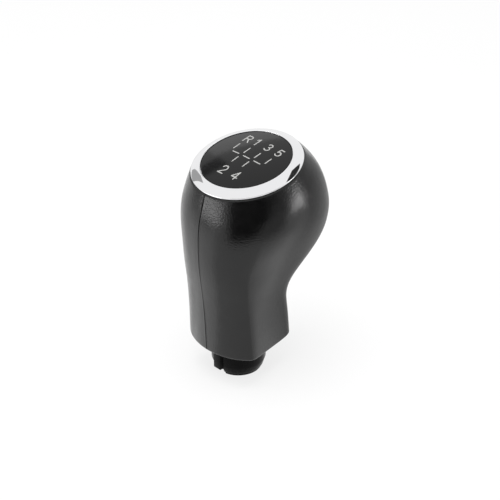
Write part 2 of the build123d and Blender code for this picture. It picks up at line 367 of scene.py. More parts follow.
def outline_corners(stations, insets):
    """Points of each closed outline: flat cheeks and an arched back at the foot, round high up."""
    height, half_width, back, front, middle, flank, radius = (column[:, None] for column in stations.T)
    inset = insets[:, None]
    angle = 2 * math.pi * np.arange(OUTLINE_POINTS) / OUTLINE_POINTS - math.pi / 2
    across, along = np.cos(angle)[None], np.sin(angle)[None]
    roundness = ease(height / ROUND_HEIGHT)
    softness = ease((height - RIDGE_FADE_START) / (RIDGE_FADE_END - RIDGE_FADE_START))
    square = FOOT_POWER + (HEAD_POWER - FOOT_POWER) * roundness
    power = square + (2 - square) * softness
    wide, deep = half_width - inset, front - middle - inset
    ahead = (np.abs(across / wide) ** power + np.abs(along / deep) ** power) ** (-1 / power)
    cheek = 1 / np.hypot(across / wide, along / (flank - inset))
    centre = radius - back - middle
    arch = centre * along + np.sqrt((radius - inset) ** 2 - (centre * across) ** 2)
    nearest = np.minimum(cheek, arch)
    closeness = (nearest / cheek) ** RIDGE_POWER + (nearest / arch) ** RIDGE_POWER
    ridged = nearest * closeness ** (-1 / RIDGE_POWER)
    oval = 1 / np.hypot(across / wide, along / (back + middle - inset))
    behind = ridged + (oval - ridged) * softness
    reach = np.where(along > 0, ahead, behind)
    narrowing = FOOT_NARROWING * (1 - roundness) * reach * along / deep
    return np.stack([reach * across * (1 - narrowing), middle + reach * along], axis=2)


def closed_slopes(corners):
    """Slopes at the points of closed curves that make them bend evenly."""
    count = corners.shape[1]
    system = 4 * np.eye(count) + np.roll(np.eye(count), 1, axis=0) + np.roll(np.eye(count), -1, axis=0)
    target = 3 * (np.roll(corners, -1, axis=1) - np.roll(corners, 1, axis=1))
    return np.einsum("ij,rjk->rik", np.linalg.inv(system), target)


def on_closed_curves(corners, slopes, places):
    """Points at places along closed curves, counted in outline points from the back."""
    count = corners.shape[1]
    first = np.floor(places).astype(int)
    part = (places - first)[..., None]
    row = np.arange(len(corners))[:, None]
    near, far = first % count, (first + 1) % count
    return cubic(part, corners[row, near], corners[row, far], slopes[row, near], slopes[row, far])


def plate_matrix(plate):
    """Place of the shift plate in the knob."""
    return Matrix.Translation((0, plate.forward, plate.height)) @ Matrix.Rotation(plate.tilt, 4, "X")


def rounded(corners, radii):
    """Outline with each corner replaced by an arc of its radius."""
    outline = []
    count = len(corners)
    for i, radius in enumerate(radii):
        corner = np.array(corners[i], float)
        if radius <= 0:
            outline.append(tuple(corner))
            continue
        before = np.array(corners[i - 1]) - corner
        after = np.array(corners[(i + 1) % count]) - corner
        before /= np.linalg.norm(before)
        after /= np.linalg.norm(after)
        half = math.acos(np.clip(before @ after, -1, 1)) / 2
        start = corner + before * radius / math.tan(half)
        end = corner + after * radius / math.tan(half)
        bisector = (before + after) / np.linalg.norm(before + after)
        centre = corner + bisector * radius / math.sin(half)
        for k in range(CORNER_STEPS + 1):
            chord = start + (end - start) * k / CORNER_STEPS - centre
            outline.append(tuple(centre + chord * radius / np.linalg.norm(chord)))
    return outline


def grid_faces(rows, columns, closed_rows):
    """Quads between rings of points; the rings close on themselves, and the rows too where asked."""
    last = rows if closed_rows else rows - 1
    faces = []
    for row in range(last):
        low, high = row * columns, (row + 1) % rows * columns
        for k in range(columns):
            after = (k + 1) % columns
            faces.append((low + k, low + after, high + after, high + k))
    return faces


def written(shape, mesh):
    """Mesh that a finished bmesh is written to."""
    shape.to_mesh(mesh)
    shape.free()
    return mesh


def mesh_from(points, faces):
    """Mesh from points and faces, with its faces pointing outwards."""
    mesh = bpy.data.meshes.new("draft")
    mesh.from_pydata([tuple(point) for point in points], [], faces)
    shape = bmesh.new()
    shape.from_mesh(mesh)
    bmesh.ops.remove_doubles(shape, verts=shape.verts, dist=SAME_POINT)
    bmesh.ops.recalc_face_normals(shape, faces=shape.faces)
    return written(shape, mesh)


def joined(meshes):
    """One mesh from several."""
    shape = bmesh.new()
    for mesh in meshes:
        shape.from_mesh(mesh)
    return written(shape, bpy.data.meshes.new("draft"))


def prism(first, last):
    """Closed mesh between two outlines of as many points."""
    count = len(first)
    ends = [tuple(range(count, 2 * count)), tuple(reversed(range(count)))]
    return mesh_from([*first, *last], grid_faces(2, count, closed_rows=False) + ends)


def lathed(outline, segments):
    """Closed mesh turned about Z from an outline of (radius, height) points."""
    angle = 2 * math.pi * np.arange(segments) / segments
    radius, height = np.array(outline).T[:, :, None]
    rings = np.stack(np.broadcast_arrays(radius * np.cos(angle), radius * np.sin(angle), height), axis=2)
    from_axis = radius[0, 0] == 0 and radius[-1, 0] == 0
    return mesh_from(rings.reshape(-1, 3), grid_faces(len(outline), segments, closed_rows=not from_axis))


def merged_copy(node):
    """Copy of a CAD node's mesh with its facets joined."""
    shape = bmesh.new()
    shape.from_mesh(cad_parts[node].data)
    bmesh.ops.remove_doubles(shape, verts=shape.verts, dist=SAME_CAD_POINT)
    flat = math.radians(FLAT_DEGREES)
    bmesh.ops.dissolve_limit(shape, angle_limit=flat, verts=shape.verts, edges=shape.edges)
    return written(shape, bpy.data.meshes.new("draft"))


def shade(mesh, sharp_degrees):
    """Smooth shading with edges kept sharp above an angle."""
    mesh.polygons.foreach_set("use_smooth", np.ones(len(mesh.polygons), bool))
    mesh.set_sharp_from_angle(angle=math.radians(sharp_degrees))
    mesh.update()


def new_piece(name, mesh, material):
    """Object for a finished mesh, in the scene, with its material."""
    mesh.name = name
    mesh.materials.clear()
    mesh.materials.append(material)
    piece = bpy.data.objects.new(name, mesh)
    bpy.context.scene.collection.objects.link(piece)
    return piece


def settle(piece):
    """Replaces an object's mesh by what its modifiers make of it and removes them."""
    bpy.context.view_layer.update()
    graph = bpy.context.evaluated_depsgraph_get()
    mesh = bpy.data.meshes.new_from_object(piece.evaluated_get(graph))
    piece.modifiers.clear()
    piece.data = mesh


def soften(piece, width):
    """Rounds a piece's sharp edges and makes the result its mesh."""
    bevel = piece.modifiers.new("Softened edges", "BEVEL")
    bevel.width = width
    bevel.segments = BEVEL_SEGMENTS
    bevel.limit_method = "ANGLE"
    bevel.angle_limit = math.radians(BEVEL_DEGREES)
    bevel.use_clamp_overlap = True
    settle(piece)


def hold(piece, node):
    """Puts a piece on the knob's body in place of a CAD node, and hides the node."""
    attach(piece, BODY)
    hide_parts(node)


class Nodes:
    """Node tree under construction, with short calls for its nodes."""

    def __init__(self, tree):
        self.nodes = tree.nodes
        self.links = tree.links

    def add(self, kind, sources=None, **settings):
        """Node with its settings, each input linked from a socket or set to a value."""
        node = self.nodes.new(kind)
        for key, value in settings.items():
            setattr(node, key, value)
        for key, source in (sources or {}).items():
            if isinstance(source, bpy.types.NodeSocket):
                self.links.new(source, node.inputs[key])
            else:
                node.inputs[key].default_value = source
        return node

    def out(self, kind, sources=None, **settings):
        """First output of a new node."""
        return self.add(kind, sources, **settings).outputs[0]

    def math(self, operation, first, second):
        """Result of a sum with two values or sockets."""
        return self.out("ShaderNodeMath", {0: first, 1: second}, operation=operation)


def seen_rays(tree):
    """1 for rays from the eye, from a reflection or through glass, and 0 for plain light."""
    path = tree.add("ShaderNodeLightPath").outputs
    bounced = tree.math("MAXIMUM", path["Is Glossy Ray"], path["Is Transmission Ray"])
    return tree.math("MAXIMUM", path["Is Camera Ray"], bounced)


class Finish(Nodes):
    """Material under construction, with short calls for its textures."""

    def __init__(self, name):
        self.material = bpy.data.materials.new(name)
        self.material.use_nodes = True
        super().__init__(self.material.node_tree)
        self.nodes.clear()

    def place(self, stretch=(1, 1, 1)):
        """Object coordinates, stretched along the axes."""
        raw = self.add("ShaderNodeTexCoord").outputs["Object"]
        return self.out("ShaderNodeMapping", {"Vector": raw, "Scale": stretch})

    def noise(self, size, detail=3.0, stretch=(1, 1, 1)):
        """Soft noise whose spots are about size across, from 0 to 1."""
        sources = {"Vector": self.place(stretch), "Scale": 1 / size, "Detail": detail}
        return self.add("ShaderNodeTexNoise", sources).outputs["Fac"]

    def cells(self, size):
        """Distance from the creases between irregular cells about size across."""
        sources = {"Vector": self.place(), "Scale": 1 / size}
        return self.add("ShaderNodeTexVoronoi", sources, feature="DISTANCE_TO_EDGE").outputs["Distance"]

    def spread(self, value, low, high, from_low=0.3, from_high=0.7):
        """A value from a texture mapped to a range."""
        span = {"From Min": from_low, "From Max": from_high, "To Min": low, "To Max": high}
        return self.out("ShaderNodeMapRange", {"Value": value, **span})

    def rough(self, value, gloss, swing):
        """Roughness that swings about a middle with a texture."""
        return self.spread(value, gloss - swing, gloss + swing)

    def blend(self, value, first, second):
        """Colour between two by a texture."""
        sources = {
            MIX_FACTOR: self.spread(value, 0, 1),
            MIX_FIRST: (*first, 1),
            MIX_SECOND: (*second, 1),
        }
        return self.add("ShaderNodeMix", sources, data_type="RGBA").outputs[MIX_RESULT]

    def bump(self, height, depth, below=None):
        """Bump of a depth from a height of 0 to 1, over another bump where one is given."""
        sources = {"Height": height, "Strength": 1.0, "Distance": depth}
        if below is not None:
            sources["Normal"] = below
        return self.out("ShaderNodeBump", sources)

    def surface(self, shader, sources):
        """Material with a shader as its surface."""
        self.add("ShaderNodeOutputMaterial", {"Surface": self.out(shader, sources)})
        return self.material

    def principled(self, **sources):
        """Material with a general shader, whose inputs are given with _ for a space in their names."""
        named = {name.replace("_", " "): source for name, source in sources.items()}
        return self.surface("ShaderNodeBsdfPrincipled", named)


def leather_finish(grip):
    """Satin black leather: fine grain, soft unevenness and a slight sheen where handled."""
    finish = Finish("satin_black_leather")
    uneven = finish.noise(grip.ripple, detail=2.0)
    soft = finish.bump(uneven, grip.ripple_depth)
    creases = finish.spread(finish.cells(grip.grain), 0, 1, from_low=0.0, from_high=0.25)
    grained = finish.bump(creases, grip.grain_depth, below=soft)
    pores = finish.noise(grip.grain / PORES_PER_GRAIN)
    return finish.principled(
        Base_Color=finish.blend(uneven, grip.tint, grip.worn),
        IOR=grip.index,
        Roughness=finish.rough(uneven, grip.gloss, swing=0.04),
        Normal=finish.bump(pores, grip.pore_depth, below=grained),
    )


def chrome_finish(ring):
    """Polished chrome plating with faint buffing haze."""
    finish = Finish("polished_chrome")
    haze = finish.noise(ring.haze, detail=4.0)
    return finish.principled(
        Base_Color=(*ring.tint, 1),
        Metallic=1.0,
        Roughness=finish.rough(haze, ring.gloss, swing=0.0175),
    )


def plate_finish(plate):
    """Gloss black lacquered plastic with a faint orange-peel."""
    finish = Finish("gloss_black_plate")
    peel = finish.noise(plate.peel, detail=2.0)
    return finish.principled(
        Base_Color=(*plate.tint, 1),
        IOR=plate.index,
        Roughness=finish.rough(peel, plate.gloss, swing=0.03),
        Normal=finish.bump(peel, plate.peel_depth),
    )


def print_finish(marks):
    """Light grey screen print, slightly uneven in its cover."""
    finish = Finish("light_grey_print")
    cover = finish.noise(marks.cover, detail=2.0)
    return finish.principled(
        Base_Color=finish.blend(cover, marks.tint * THIN_PRINT, marks.tint),
        Roughness=finish.rough(cover, marks.gloss, swing=0.075),
    )


def moulded_finish(name, moulding, tint, gloss, index):
    """Moulded black plastic with a fine spark-eroded texture."""
    finish = Finish(name)
    cloud = finish.noise(moulding.cloud)
    spark = finish.noise(moulding.spark, detail=2.0)
    return finish.principled(
        Base_Color=finish.blend(cloud, tint, tint * PALE_PLASTIC),
        IOR=index,
        Roughness=finish.rough(cloud, gloss, swing=0.05),
        Normal=finish.bump(spark, moulding.spark_depth),
    )


def steel_finish(moulding):
    """Rolled spring steel with fine lengthwise marks."""
    finish = Finish("rolled_spring_steel")
    marks = finish.noise(moulding.rolling, stretch=ROLLED)
    return finish.principled(
        Base_Color=(*moulding.steel, 1),
        Metallic=1.0,
        Roughness=finish.rough(marks, moulding.steel_gloss, swing=0.08),
        Normal=finish.bump(marks, moulding.rolling_depth),
    )


def floor_finish(stage):
    """Pale matt floor with faint spots, nearly white to the eye."""
    finish = Finish("pale_floor")
    spots = finish.noise(FLOOR_SPOT, detail=2.0)
    pale = finish.blend(spots, stage.floor * FLOOR_SPOT_TONE, stage.floor)
    matt = finish.out("ShaderNodeBsdfDiffuse", {"Color": pale})
    glow = finish.out("ShaderNodeEmission", {"Color": WHITE, "Strength": 1.0})
    part = finish.math("MULTIPLY", seen_rays(finish), stage.floor_glow)
    return finish.surface("ShaderNodeMixShader", {0: part, 1: matt, 2: glow})


class Tree(Nodes):
    """Geometry Nodes tree under construction, with named inputs."""

    def __init__(self, name):
        self.group = bpy.data.node_groups.new(name, "GeometryNodeTree")
        super().__init__(self.group)
        for side in ("INPUT", "OUTPUT"):
            self.group.interface.new_socket("Geometry", in_out=side, socket_type="NodeSocketGeometry")
        self.enter = self.add("NodeGroupInput")
        self.sockets = {}

    def input(self, name, kind):
        """Named input of the tree, whose identifier is kept for the modifier."""
        socket = self.group.interface.new_socket(name, in_out="INPUT", socket_type=kind)
        self.sockets[name] = socket.identifier
        return self.enter.outputs[name]

    def vector(self, x=0.0, y=0.0, z=0.0):
        """Vector from its parts."""
        return self.out("ShaderNodeCombineXYZ", {"X": x, "Y": y, "Z": z})

    def join(self, *geometries):
        """All geometries as one."""
        node = self.add("GeometryNodeJoinGeometry")
        for geometry in geometries:
            self.links.new(geometry, node.inputs[0])
        return node.outputs[0]

    def on_dome(self, geometry, radius, dome):
        """Geometry lifted onto a domed plate."""
        place = self.add("ShaderNodeSeparateXYZ", {0: self.out("GeometryNodeInputPosition")})
        across = self.math("MULTIPLY", place.outputs[0], place.outputs[0])
        along = self.math("MULTIPLY", place.outputs[1], place.outputs[1])
        square = self.math("MULTIPLY", radius, radius)
        reach = self.math("DIVIDE", self.math("ADD", across, along), square)
        rise = self.math("MULTIPLY", self.math("SUBTRACT", 1.0, reach), dome)
        return self.out("GeometryNodeSetPosition", {"Geometry": geometry, "Offset": self.vector(z=rise)})

    def end(self, geometry):
        """Ends the tree with real geometry in the material of one more input."""
        material = self.input("Material", "NodeSocketMaterial")
        real = self.out("GeometryNodeRealizeInstances", {"Geometry": geometry})
        painted = self.out("GeometryNodeSetMaterial", {"Geometry": real, "Material": material})
        self.add("NodeGroupOutput", {"Geometry": painted})
        return self

    def run(self, piece, values):
        """Runs the tree on an object with values for its inputs and keeps the result as its mesh."""
        modifier = piece.modifiers.new(self.group.name, "NODES")
        modifier.node_group = self.group
        for name, value in values.items():
            modifier[self.sockets[name]] = value
        settle(piece)


def repeat_round_axis():
    """Tree that repeats a piece evenly round its Z axis."""
    tree = Tree("Repeat round the axis")
    count = tree.input("Count", "NodeSocketInt")
    first = tree.input("First angle", "NodeSocketFloat")
    index = tree.out("GeometryNodeInputIndex")
    step = tree.math("DIVIDE", 2 * math.pi, count)
    angle = tree.math("ADD", tree.math("MULTIPLY", index, step), first)
    sources = {
        "Points": tree.out("GeometryNodePoints", {"Count": count}),
        "Instance": tree.enter.outputs["Geometry"],
        "Rotation": tree.vector(z=angle),
    }
    return tree.end(tree.out("GeometryNodeInstanceOnPoints", sources))


def shift_gate_tree():
    """Tree that lays the dashes of a shift gate on a domed plate."""
    tree = Tree("Shift gate")
    names = (*GATE_SIZES, "Plate radius", "Plate dome")
    size = {name: tree.input(name, "NodeSocketFloat") for name in names}
    columns = tree.input("Columns", "NodeSocketInt")
    corner = tree.math("MULTIPLY", size["Stroke"], DASH_ROUNDING)

    def dash(width, height):
        """Filled dash with soft corners."""
        shape = tree.out("GeometryNodeCurvePrimitiveQuadrilateral", {"Width": width, "Height": height})
        sources = {"Curve": shape, "Count": DASH_CORNER_STEPS, "Radius": corner}
        soft = tree.out("GeometryNodeFilletCurve", sources, mode="POLY")
        return tree.out("GeometryNodeFillCurve", {"Curve": soft}, mode="NGONS")

    def row(shape, fewer, y):
        """Row of dashes, fewer than the columns by a number, centred on the plate."""
        count = tree.math("SUBTRACT", columns, fewer)
        half = tree.math("MULTIPLY", tree.math("SUBTRACT", count, 1.0), -0.5)
        start = tree.vector(tree.math("MULTIPLY", half, size["Pitch"]), y)
        step = tree.vector(size["Pitch"])
        line = tree.out("GeometryNodeMeshLine", {"Count": count, "Start Location": start, "Offset": step})
        return tree.out("GeometryNodeInstanceOnPoints", {"Points": line, "Instance": shape})

    across = dash(size["Dash"], size["Stroke"])
    upright = dash(size["Stroke"], size["Dash"])
    reach = tree.math("ADD", size["Gap"], tree.math("MULTIPLY", size["Dash"], 0.5))
    ahead = tree.math("ADD", size["Centre"], reach)
    behind = tree.math("SUBTRACT", size["Centre"], reach)
    rows = tree.join(row(upright, 0.0, ahead), row(across, 1.0, size["Centre"]), row(upright, 2.0, behind))
    real = tree.out("GeometryNodeRealizeInstances", {"Geometry": rows})
    laid = tree.on_dome(real, size["Plate radius"], size["Plate dome"])
    upwards = {"Mesh": laid, "Offset Scale": size["Thickness"], "Individual": False}
    raised = tree.out("GeometryNodeExtrudeMesh", upwards, mode="FACES")
    both = tree.join(tree.out("GeometryNodeFlipFaces", {"Mesh": laid}), raised)
    return tree.end(tree.out("GeometryNodeMergeByDistance", {"Geometry": both, "Distance": SAME_POINT}))


def one_print_tree():
    """Tree that joins crossing strokes into one print and lays it on a domed plate."""
    tree = Tree("One print")
    radius = tree.input("Plate radius", "NodeSocketFloat")
    dome = tree.input("Plate dome", "NodeSocketFloat")
    sources = {"Mesh 2": tree.enter.outputs["Geometry"], "Self Intersection": True}
    union = tree.out("GeometryNodeMeshBoolean", sources, operation="UNION", solver="EXACT")
    return tree.end(tree.on_dome(union, radius, dome))


class KNOB_OT_grip(bpy.types.Operator):
    """Stretch the leather skin over the grip, with its hem under the foot and its seam down the back"""

    bl_idname = "knob.grip"
    bl_label = "Leather Grip"

    # Rings up the outside, columns round it, rings up the inside, and steps round the hem and the rim
    ROWS = 110
    COLUMNS = 240
    INNER_ROWS = 20
    HEM_STEPS = 6
    RIM_STEPS = 5

    # Columns of points beside the seam, and the form of its valley in half widths of the seam
    BESIDE_SEAM = np.array([0.1, 0.2, 0.3, 0.42, 0.6, 0.9, 1.4]) * MM
    VALLEY_POWER = 2.2
    SWELL_PLACE = 1.9
    SWELL_REACH = 0.707

    # Where handling has closed the seam, in shares of the grip's height, and how far the pinch reaches
    RUBBED_PLACE = 0.42
    RUBBED_REACH = 0.22
    PINCH_REACH = 0.8 * MM

    def profile(self, grip, top):
        """Heights and insets of the outer rings: round the hem, up the side and round the rim."""
        hem = np.linspace(0, math.pi / 2, self.HEM_STEPS, endpoint=False)
        rim = np.linspace(0, math.pi / 2, self.RIM_STEPS + 1)[1:]
        side = np.linspace(grip.hem, top - grip.rim_rounding, self.ROWS)
        rim_heights = top - grip.rim_rounding * (1 - np.sin(rim))
        rim_insets = grip.rim_rounding * (1 - np.cos(rim))
        heights = np.hstack([grip.hem * (1 - np.cos(hem)), side, rim_heights])
        insets = np.hstack([grip.hem * (1 - np.sin(hem)), 0 * side, rim_insets])
        return heights, insets

    def seam_cut(self, grip, heights, top):
        """How far each outer ring is pressed in at the seam and beside it."""
        place = np.append(0.0, self.BESIDE_SEAM) / (grip.seam_width / 2)
        valley = grip.seam_depth * np.exp(-(place**self.VALLEY_POWER))
        swell = grip.seam_swell * bell(place, self.SWELL_PLACE, self.SWELL_REACH)
        rubbed = grip.seam_rubbed * bell(heights / top, self.RUBBED_PLACE, self.RUBBED_REACH)
        pinched = bell(heights, top - grip.pinch_drop, self.PINCH_REACH)
        return np.outer(1 - rubbed + pinched, valley - swell)

    def rings(self, outlines, heights, lean, insets, cut=None):
        """Rings of points on outlines at heights, with columns beside the seam that a cut presses in."""
        corners = outline_corners(outlines, insets)
        slopes = closed_slopes(corners)
        # The slope across at the seam turns the columns' distances from it into places on the curve
        beside = self.BESIDE_SEAM / slopes[:, :1, 0]
        start = beside[:, -1:]
        even = start + (OUTLINE_POINTS - 2 * start) * np.arange(1, self.COLUMNS) / self.COLUMNS
        places = np.hstack([0 * start, beside, even, OUTLINE_POINTS - beside[:, ::-1]])
        x, y = np.moveaxis(on_closed_curves(corners, slopes, places), 2, 0)
        if cut is not None:
            y += np.hstack([cut, np.zeros((len(heights), self.COLUMNS - 1)), cut[:, :0:-1]])
        forward, up = np.cos(lean)[:, None], np.sin(lean)[:, None]
        return np.stack([x, y * forward, heights[:, None] + y * up], axis=2)

    def skin(self, plate, stations, heights, insets, cut=None):
        """Rings of one side of the skin on the smooth curves through the stations."""
        outlines = natural_curve(stations[:, 0], stations, heights)
        lean = plate.tilt * ease(heights / stations[-1, 0])
        return self.rings(outlines, heights, lean, insets, cut)

    def lip(self, grip, stations):
        """Rings of the edge that is turned under the foot."""
        foot = stations[0].copy()
        foot[1:4] = stations[:2, 1:4].min(0)
        heights = np.array([grip.skin, 0.0])
        return self.rings(np.tile(foot, (2, 1)), heights, 0 * heights, np.full(2, grip.hem_width))

    def execute(self, context):
        grip, plate = context.scene.knob_grip, context.scene.knob_plate
        stations = grip_stations(plate, grip)
        top = stations[-1, 0]
        heights, insets = self.profile(grip, top)
        outside = self.skin(plate, stations, heights, insets, self.seam_cut(grip, heights, top))
        deep = np.linspace(top, grip.skin, self.INNER_ROWS)
        inside = self.skin(plate, stations, deep, np.full(self.INNER_ROWS, grip.skin))
        rings = np.concatenate([outside, inside, self.lip(grip, stations)])
        mesh = mesh_from(rings.reshape(-1, 3), grid_faces(*rings.shape[:2], closed_rows=True))
        shade(mesh, sharp_degrees=60)
        hold(new_piece("grip_leather", mesh, leather_finish(grip)), "grip_cover")
        return {"FINISHED"}


class KNOB_OT_ring(bpy.types.Operator):
    """Turn the chrome ring with its ledge and add its snap legs"""

    bl_idname = "knob.ring"
    bl_label = "Chrome Ring"

    SEGMENTS = 256
    CROWN_STEPS = 12

    def crown(self, ring):
        """Points of the arc over the ring from its inner lip to its outer edge."""
        part = np.linspace(0, 1, self.CROWN_STEPS + 1)
        fall = (ring.proud + ring.drop) * part
        bulge = ring.bulge * (1 - (2 * part - 1) ** 2)
        return list(zip(ring.inner + ring.width * part, ring.proud - fall + bulge))

    def outline(self, ring):
        """Section of the ring without its legs."""
        start, *arc, end = self.crown(ring)
        under = -ring.drop - ring.edge
        low = -ring.ledge_top - ring.ledge_thickness
        spigot = ring.inner + ring.spigot
        ledge = ring.inner - ring.ledge_width
        body = [
            end,
            (end[0], under),
            (spigot, under),
            (spigot, low),
            (ledge, low),
            (ledge, -ring.ledge_top),
            (ring.inner, -ring.ledge_top),
            start,
        ]
        soft = ring.rounding
        radii = [soft, soft, 0, soft, soft, soft, 0, soft]
        return rounded(body + arc, radii + [0] * len(arc))

    def leg(self, ring):
        """One snap leg with its barb."""
        outer = ring.inner + ring.spigot
        inner = outer - ring.leg_thickness
        top = -ring.ledge_top - ring.ledge_thickness
        end = top - ring.leg_length
        barb = end + ring.barb_height
        section = [
            (inner, top),
            (outer, top),
            (outer, barb),
            (outer + ring.barb_reach, barb),
            (outer, end),
            (inner, end),
        ]
        half = ring.leg_width / 2
        near, far = ([(x, side, z) for x, z in section] for side in (-half, half))
        return prism(near, far)

    def execute(self, context):
        ring, plate = context.scene.knob_ring, context.scene.knob_plate
        chrome = chrome_finish(ring)
        legs = new_piece("ring_legs", self.leg(ring), chrome)
        first = math.pi / ring.leg_count
        repeat_round_axis().run(legs, {"Count": ring.leg_count, "First angle": first, "Material": chrome})
        mesh = joined([lathed(self.outline(ring), self.SEGMENTS), legs.data])
        bpy.data.objects.remove(legs)
        mesh.transform(plate_matrix(plate))
        shade(mesh, sharp_degrees=40)
        hold(new_piece("ring_chrome", mesh, chrome), "trim_ring")
        return {"FINISHED"}


class KNOB_OT_plate(bpy.types.Operator):
    """Turn the domed shift plate with its snap skirt"""

    bl_idname = "knob.plate"
    bl_label = "Shift Plate"

    SEGMENTS = 224
    DOME_STEPS = 24

    def outline(self, plate):
        """Section of the plate from the top of its dome to the middle of its underside."""
        skirt_inner = plate.skirt_radius - plate.skirt_wall
        skirt_end = -plate.edge - plate.skirt_length
        bead = plate.skirt_radius + plate.bead_reach
        part = np.arange(self.DOME_STEPS) / self.DOME_STEPS
        dome = list(zip(plate.radius * part, plate.dome * (1 - part**2)))
        rim = [(plate.radius, 0), (plate.radius, -plate.edge)]
        under = [
            (plate.skirt_radius, -plate.edge),
            (plate.skirt_radius, -plate.bead_drop),
            (bead, -plate.bead_drop),
            (bead, -plate.bead_drop - plate.bead_height),
            (plate.skirt_radius, skirt_end),
            (skirt_inner, skirt_end),
            (skirt_inner, -plate.edge),
            (0, -plate.edge),
        ]
        radii = [0] * len(dome) + [plate.rounding, plate.under_rounding] + [0] * len(under)
        return rounded(dome + rim + under, radii)

    def execute(self, context):
        plate = context.scene.knob_plate
        mesh = lathed(self.outline(plate), self.SEGMENTS)
        mesh.transform(plate_matrix(plate))
        shade(mesh, sharp_degrees=40)
        hold(new_piece("plate_gloss", mesh, plate_finish(plate)), "shift_plate")
        return {"FINISHED"}


class KNOB_OT_marks(bpy.types.Operator):
    """Print the gear numbers and the dashed gate on the plate"""

    bl_idname = "knob.marks"
    bl_label = "Shift Pattern"

    COLUMNS = 4
    LINE_POINTS = 8
    ARC_POINTS = 28
    END_STEPS = 8

    def path(self, stroke):
        """Points along a stroke: a line between two ends, or an arc by its centre, radii and angles."""
        first, second, angles = stroke[:2], stroke[2:4], stroke[4:]
        if not angles:
            return np.linspace(first, second, self.LINE_POINTS)
        swing = np.radians(np.linspace(*angles, self.ARC_POINTS))
        return np.stack([np.cos(swing), np.sin(swing)], axis=1) * second + first

    def ribbon(self, points, marks):
        """Closed bar of the print's thickness along points, with round ends."""
        along = np.gradient(points, axis=0)
        along /= np.linalg.norm(along, axis=1)[:, None]
        aside = along[:, ::-1] * (-1, 1)
        half = marks.letter_stroke / 2
        swing = np.pi * (np.arange(1, self.END_STEPS) / self.END_STEPS)[:, None]
        end = points[-1] + half * (aside[-1] * np.cos(swing) + along[-1] * np.sin(swing))
        start = points[0] - half * (aside[0] * np.cos(swing) + along[0] * np.sin(swing))
        left, right = points + half * aside, points - half * aside
        edge = np.concatenate([right, end[::-1], left[::-1], start[::-1]])
        bottom, top = ([(x, y, z) for x, y in edge] for z in (0, marks.thickness))
        return prism(bottom, top)

    def numbers(self, marks):
        """Mesh of all gear marks, stroke by stroke, each centred in its column."""
        strokes = []
        for text, column, row in GEAR_MARKS:
            letter, reach = (marks.letter, marks.row) if row > 0 else (marks.back_letter, marks.back_row)
            tall = letter - marks.letter_stroke
            paths = [self.path(stroke) * tall for stroke in MARK_STROKES[text]]
            wide = max(points[:, 0].max() for points in paths)
            x = (column - (self.COLUMNS - 1) / 2) * marks.pitch
            corner = np.array([x - wide / 2, marks.centre + row * reach - tall / 2])
            strokes += [self.ribbon(points + corner, marks) for points in paths]
        return joined(strokes)

    def execute(self, context):
        marks, plate = context.scene.knob_marks, context.scene.knob_plate
        paint = print_finish(marks)
        on_plate = {"Plate radius": plate.radius, "Plate dome": plate.dome, "Material": paint}
        sizes = {name: getattr(marks, name.lower()) for name in GATE_SIZES}
        gate = new_piece("gate_dashes", bpy.data.meshes.new("draft"), paint)
        shift_gate_tree().run(gate, {**sizes, "Columns": self.COLUMNS, **on_plate})
        numbers = new_piece("gear_numbers", self.numbers(marks), paint)
        one_print_tree().run(numbers, on_plate)
        for piece in (gate, numbers):
            piece.data.transform(plate_matrix(plate))
            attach(piece, BODY)
        return {"FINISHED"}


class KNOB_OT_mouldings(bpy.types.Operator):
    """Finish the sleeve, the core, the spring and the circlip from their solids"""

    bl_idname = "knob.mouldings"
    bl_label = "Sleeve, Core and Steel"

    def execute(self, context):
        mould = context.scene.knob_moulding
        sleeve = moulded_finish(
            "black_sleeve_plastic", mould, mould.sleeve, mould.sleeve_gloss, mould.sleeve_index
        )
        core = moulded_finish("black_core_plastic", mould, mould.core, mould.core_gloss, mould.core_index)
        steel = steel_finish(mould)
        pieces = (
            ("sleeve_moulding", "lever_sleeve", sleeve, "sleeve_plastic", mould.rounding),
            ("core_moulding", "grip_core", core, "core_plastic", 0),
            ("spring_leaf", "lever_spring", steel, "spring_steel", mould.steel_rounding),
            ("circlip_steel", "sleeve_circlip", steel, "spring_steel", mould.steel_rounding),
        )
        for name, node, material, slot, rounding in pieces:
            piece = new_piece(name, merged_copy(node), material)
            if rounding:
                soften(piece, rounding)
            shade(piece.data, sharp_degrees=35)
            hold(piece, node)
        return {"FINISHED"}


